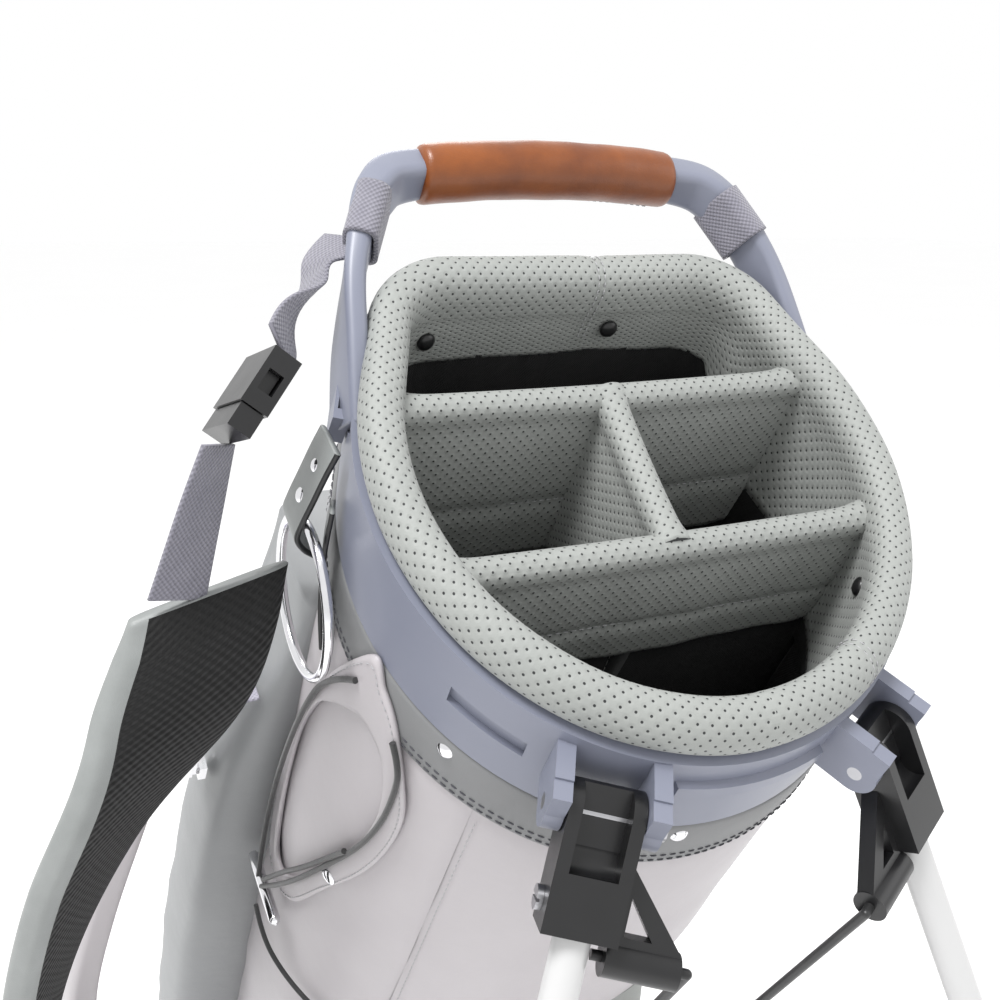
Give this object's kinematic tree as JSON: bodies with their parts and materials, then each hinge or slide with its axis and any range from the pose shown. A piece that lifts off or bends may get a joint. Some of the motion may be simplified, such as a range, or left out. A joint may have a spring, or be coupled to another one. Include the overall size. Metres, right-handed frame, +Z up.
{
  "type": "golf stand bag",
  "caption": "Golf stand bag with padded four-way divider top, arched handle, fold-out legs driven by a hinged foot, pockets, towel ring and shoulder straps.",
  "frame": {"origin": "centre of the footprint on the floor, under the bag as it stands on its base and opened legs", "axes": "+Z up, -Y towards the legs, +X to the right when the legs are in front"},
  "size_m": [0.6528, 0.7623, 0.9139],
  "materials": {
    "plastic": "satin moulded",
    "cuff": "perforated soft leatherette over foam",
    "skirt": "smooth stitched",
    "white_leather": "smooth",
    "grey_leather": "smooth",
    "cognac": "waxed",
    "lining": "woven",
    "webbing": "woven webbing",
    "pad": "air mesh",
    "black_plastic": "moulded",
    "steel": "polished",
    "wire": "black",
    "leg": "white satin",
    "rubber": "matte",
    "cord": "braided elastic",
    "core": "moulded"
  },
  "bodies": {
    "bag": {"collar_frame": "plastic", "collar_skirt": "skirt", "collar_rivets": "steel", "cuff_pad": "cuff", "cuff_snaps": "black_plastic", "rear_divider_sleeve": "cuff", "rear_divider_cloth": "lining", "front_divider_sleeve": "cuff", "front_divider_cloth": "lining", "middle_divider_sleeve": "cuff", "divider_cores": "core", "middle_divider_cloth": "lining", "body_front_panel": "white_leather", "body_left_panel": "white_leather", "body_right_panel": "white_leather", "body_back_panel": "grey_leather", "body_liner": "lining", "base_cap": "black_plastic", "stand_foot_pin": "steel", "leg_hinge_pins": "steel", "hip_pad": "grey_leather", "handle_arch": "plastic", "handle_grip": "cognac", "left_strap_sleeve": "webbing", "right_strap_sleeve": "webbing", "left_pocket": "grey_leather", "right_pocket": "grey_leather", "valuables_pocket": "grey_leather", "loop_patch": "white_leather", "cord_toggle": "steel", "cord_eyelet": "steel", "cord_left": "cord", "cord_right": "cord", "cord_lower": "cord", "ring_tab": "grey_leather", "strap_upper_web": "webbing", "strap_lower_web": "webbing", "strap_inner_web": "webbing", "strap_tail_web": "webbing", "outer_shoulder_pad": "pad", "inner_shoulder_pad": "pad", "strap_joiner": "black_plastic", "buckle_socket": "black_plastic", "buckle_plug": "black_plastic"},
    "left_leg": {"left_leg_bracket": "black_plastic", "left_bracket_screw": "steel", "left_leg_tube": "leg", "left_leg_boot": "rubber"},
    "right_leg": {"right_leg_bracket": "black_plastic", "right_bracket_screw": "steel", "right_leg_tube": "leg", "right_leg_boot": "rubber"},
    "left_rod": {"left_lift_rod": "wire"},
    "right_rod": {"right_lift_rod": "wire"},
    "foot": {"stand_foot": "black_plastic"},
    "ring": {"towel_ring": "steel"},
    "left_zip": {"left_zip_slider": "steel"},
    "right_zip": {"right_zip_slider": "steel"},
    "valuables_zip": {"valuables_zip_slider": "steel"}
  },
  "joints": [
    {"name": "left_leg_fold", "type": "hinge", "parent": "bag", "child": "left_leg", "pos_m": [-0.0648, -0.24253, 0.67922], "axis": [0.8829, -0.3981, -0.2488], "range_deg": [0, 44]},
    {"name": "right_leg_fold", "type": "hinge", "parent": "bag", "child": "right_leg", "pos_m": [0.06477, -0.24253, 0.67922], "axis": [0.8829, 0.3981, 0.2488], "range_deg": [0, 44]},
    {"name": "left_rod_swing", "type": "hinge", "parent": "left_leg", "child": "left_rod", "pos_m": [-0.05806, -0.26033, 0.62711], "axis": [0.8829, -0.3981, -0.2488], "range_deg": [-47.71, 0.2]},
    {"name": "right_rod_swing", "type": "hinge", "parent": "right_leg", "child": "right_rod", "pos_m": [0.05804, -0.26033, 0.62711], "axis": [0.8829, 0.3981, 0.2488], "range_deg": [-47.71, 0.2]},
    {"name": "foot_fold", "type": "hinge", "parent": "bag", "child": "foot", "pos_m": [-0.00001, 0.18976, 0.006], "axis": [1, 0, 0], "range_deg": [0, 33.14]},
    {"name": "towel_ring_swing", "type": "hinge", "parent": "bag", "child": "ring", "pos_m": [-0.13501, -0.11694, 0.76477], "axis": [0, 1, 0], "range_deg": [-2, 20]},
    {"name": "left_zip_slide", "type": "slide", "parent": "bag", "child": "left_zip", "axis": [-0.0563, 0.5291, -0.8467], "range_m": [0, 0.15]},
    {"name": "right_zip_slide", "type": "slide", "parent": "bag", "child": "right_zip", "axis": [0.3091, 0.504, -0.8065], "range_m": [0, 0.09]},
    {"name": "valuables_zip_slide", "type": "slide", "parent": "bag", "child": "valuables_zip", "axis": [0.2516, 0.5129, -0.8208], "range_m": [0, 0.08]}
  ],
  "couplings": [
    {"joint": "right_leg_fold", "follows": "left_leg_fold", "ratio": 1},
    {"joint": "left_rod_swing", "follows": "left_leg_fold", "ratio": -1.073},
    {"joint": "right_rod_swing", "follows": "left_leg_fold", "ratio": -1.073},
    {"joint": "foot_fold", "follows": "left_leg_fold", "ratio": 0.74635}
  ]
}
